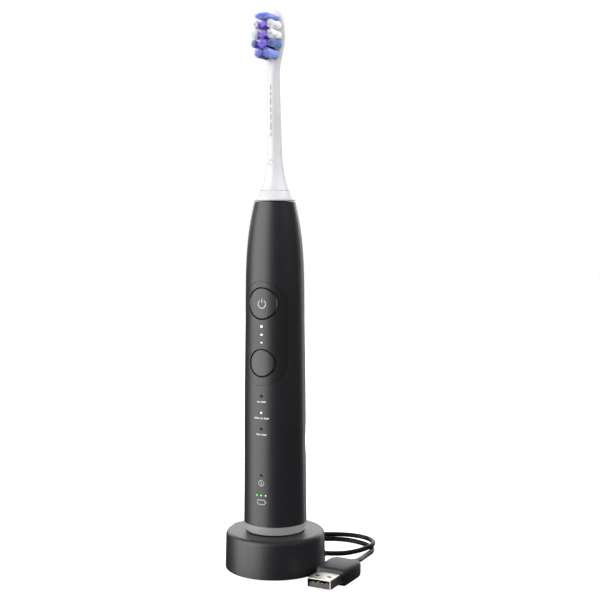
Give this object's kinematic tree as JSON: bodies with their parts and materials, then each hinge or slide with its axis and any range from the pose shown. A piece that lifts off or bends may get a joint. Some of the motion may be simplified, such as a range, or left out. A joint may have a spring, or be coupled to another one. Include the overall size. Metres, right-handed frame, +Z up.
{
  "type": "electric toothbrush on charger",
  "caption": "Slim electric toothbrush with a soft button panel and angled brush head, standing on a round inductive charger with a corded plug.",
  "frame": {"origin": "centre of the charger's underside, on the surface it stands on", "axes": "+Z up the handle's long axis, -Y towards the buttons and the bristles, +X to the right of the buttons seen from the front"},
  "size_m": [0.0896, 0.0844, 0.2688],
  "materials": {
    "black_shell": "satin charcoal plastic",
    "soft_panel": "soft-touch rubber",
    "grey_cap": "satin grey plastic",
    "white_plastic": "smooth white plastic",
    "inner_plastic": "moulded plastic",
    "rubber": "black rubber",
    "cord": "glossy PVC",
    "grip": "matte dark grey plastic",
    "steel": "plated steel",
    "copper": "enamelled copper wire",
    "gold": "gold plated contact",
    "core": "ferrite or iron core",
    "magnet": "nickel plated magnet",
    "board": "green circuit board",
    "cell": "wrapped battery cell",
    "foam": "foam",
    "light_white": "light pipe",
    "light_green": "light pipe",
    "bristle_white": "nylon filaments",
    "bristle_blue": "nylon filaments",
    "bristle_teal": "nylon filaments",
    "bristle_purple": "nylon filaments"
  },
  "bodies": {
    "charger": {"charger_housing": "black_shell", "charger_base": "black_shell", "charger_foot": "rubber", "charger_coil": "copper", "ferrite_core": "core", "charger_board": "board", "cord_gland": "rubber", "cord_lead": "cord", "cord_coil": "cord", "cord_tail": "cord", "cord_tie": "rubber", "usb_grip": "grip", "usb_boot": "rubber", "usb_shell": "steel", "usb_tongue": "rubber", "usb_contacts": "gold"},
    "handle": {"handle_housing": "black_shell", "button_panel": "soft_panel", "end_cap": "grey_cap", "end_cap_seal": "rubber", "shaft_seal": "rubber", "chassis": "inner_plastic", "stator_core": "core", "stator_coil": "copper", "upper_bearing": "steel", "lower_bearing": "steel", "bar_anchor": "steel", "battery_cell": "cell", "battery_tabs": "steel", "foam_pad": "foam", "control_board": "board", "switch_bodies": "steel", "intensity_lights": "light_white", "mode_lights": "light_white", "reminder_light": "light_white", "battery_lights": "light_green", "receiver_coil": "copper", "coil_bobbin": "inner_plastic"},
    "power": {"power_button": "soft_panel", "power_plunger": "inner_plastic"},
    "mode": {"mode_button": "soft_panel", "mode_plunger": "inner_plastic"},
    "drive": {"drive_shaft": "steel", "rotor_core": "core", "rotor_magnets": "magnet", "torsion_bar": "steel"},
    "brush": {"brush_collar": "white_plastic", "brush_neck": "white_plastic", "shaft_clip": "inner_plastic", "head_chip": "board", "bristles_white": "bristle_white", "bristles_blue": "bristle_blue", "bristles_teal": "bristle_teal", "bristles_purple": "bristle_purple"}
  },
  "joints": [
    {"name": "handle_lift", "type": "slide", "parent": "charger", "child": "handle", "axis": [0, 0, 1], "range_m": [0, 0.03]},
    {"name": "shaft_sweep", "type": "hinge", "parent": "handle", "child": "drive", "pos_m": [0, 0, 0.12], "axis": [0, 0, 1], "range_deg": [-5, 5], "stiffness_Nm_per_rad": 0.5},
    {"name": "brush_pull", "type": "slide", "parent": "drive", "child": "brush", "axis": [0, 0, 1], "range_m": [0, 0.03]},
    {"name": "power_press", "type": "slide", "parent": "handle", "child": "power", "axis": [0, 1, 0], "range_m": [0, 0.0004], "stiffness_N_per_m": 2000},
    {"name": "mode_press", "type": "slide", "parent": "handle", "child": "mode", "axis": [0, 1, 0], "range_m": [0, 0.0004], "stiffness_N_per_m": 2000}
  ]
}
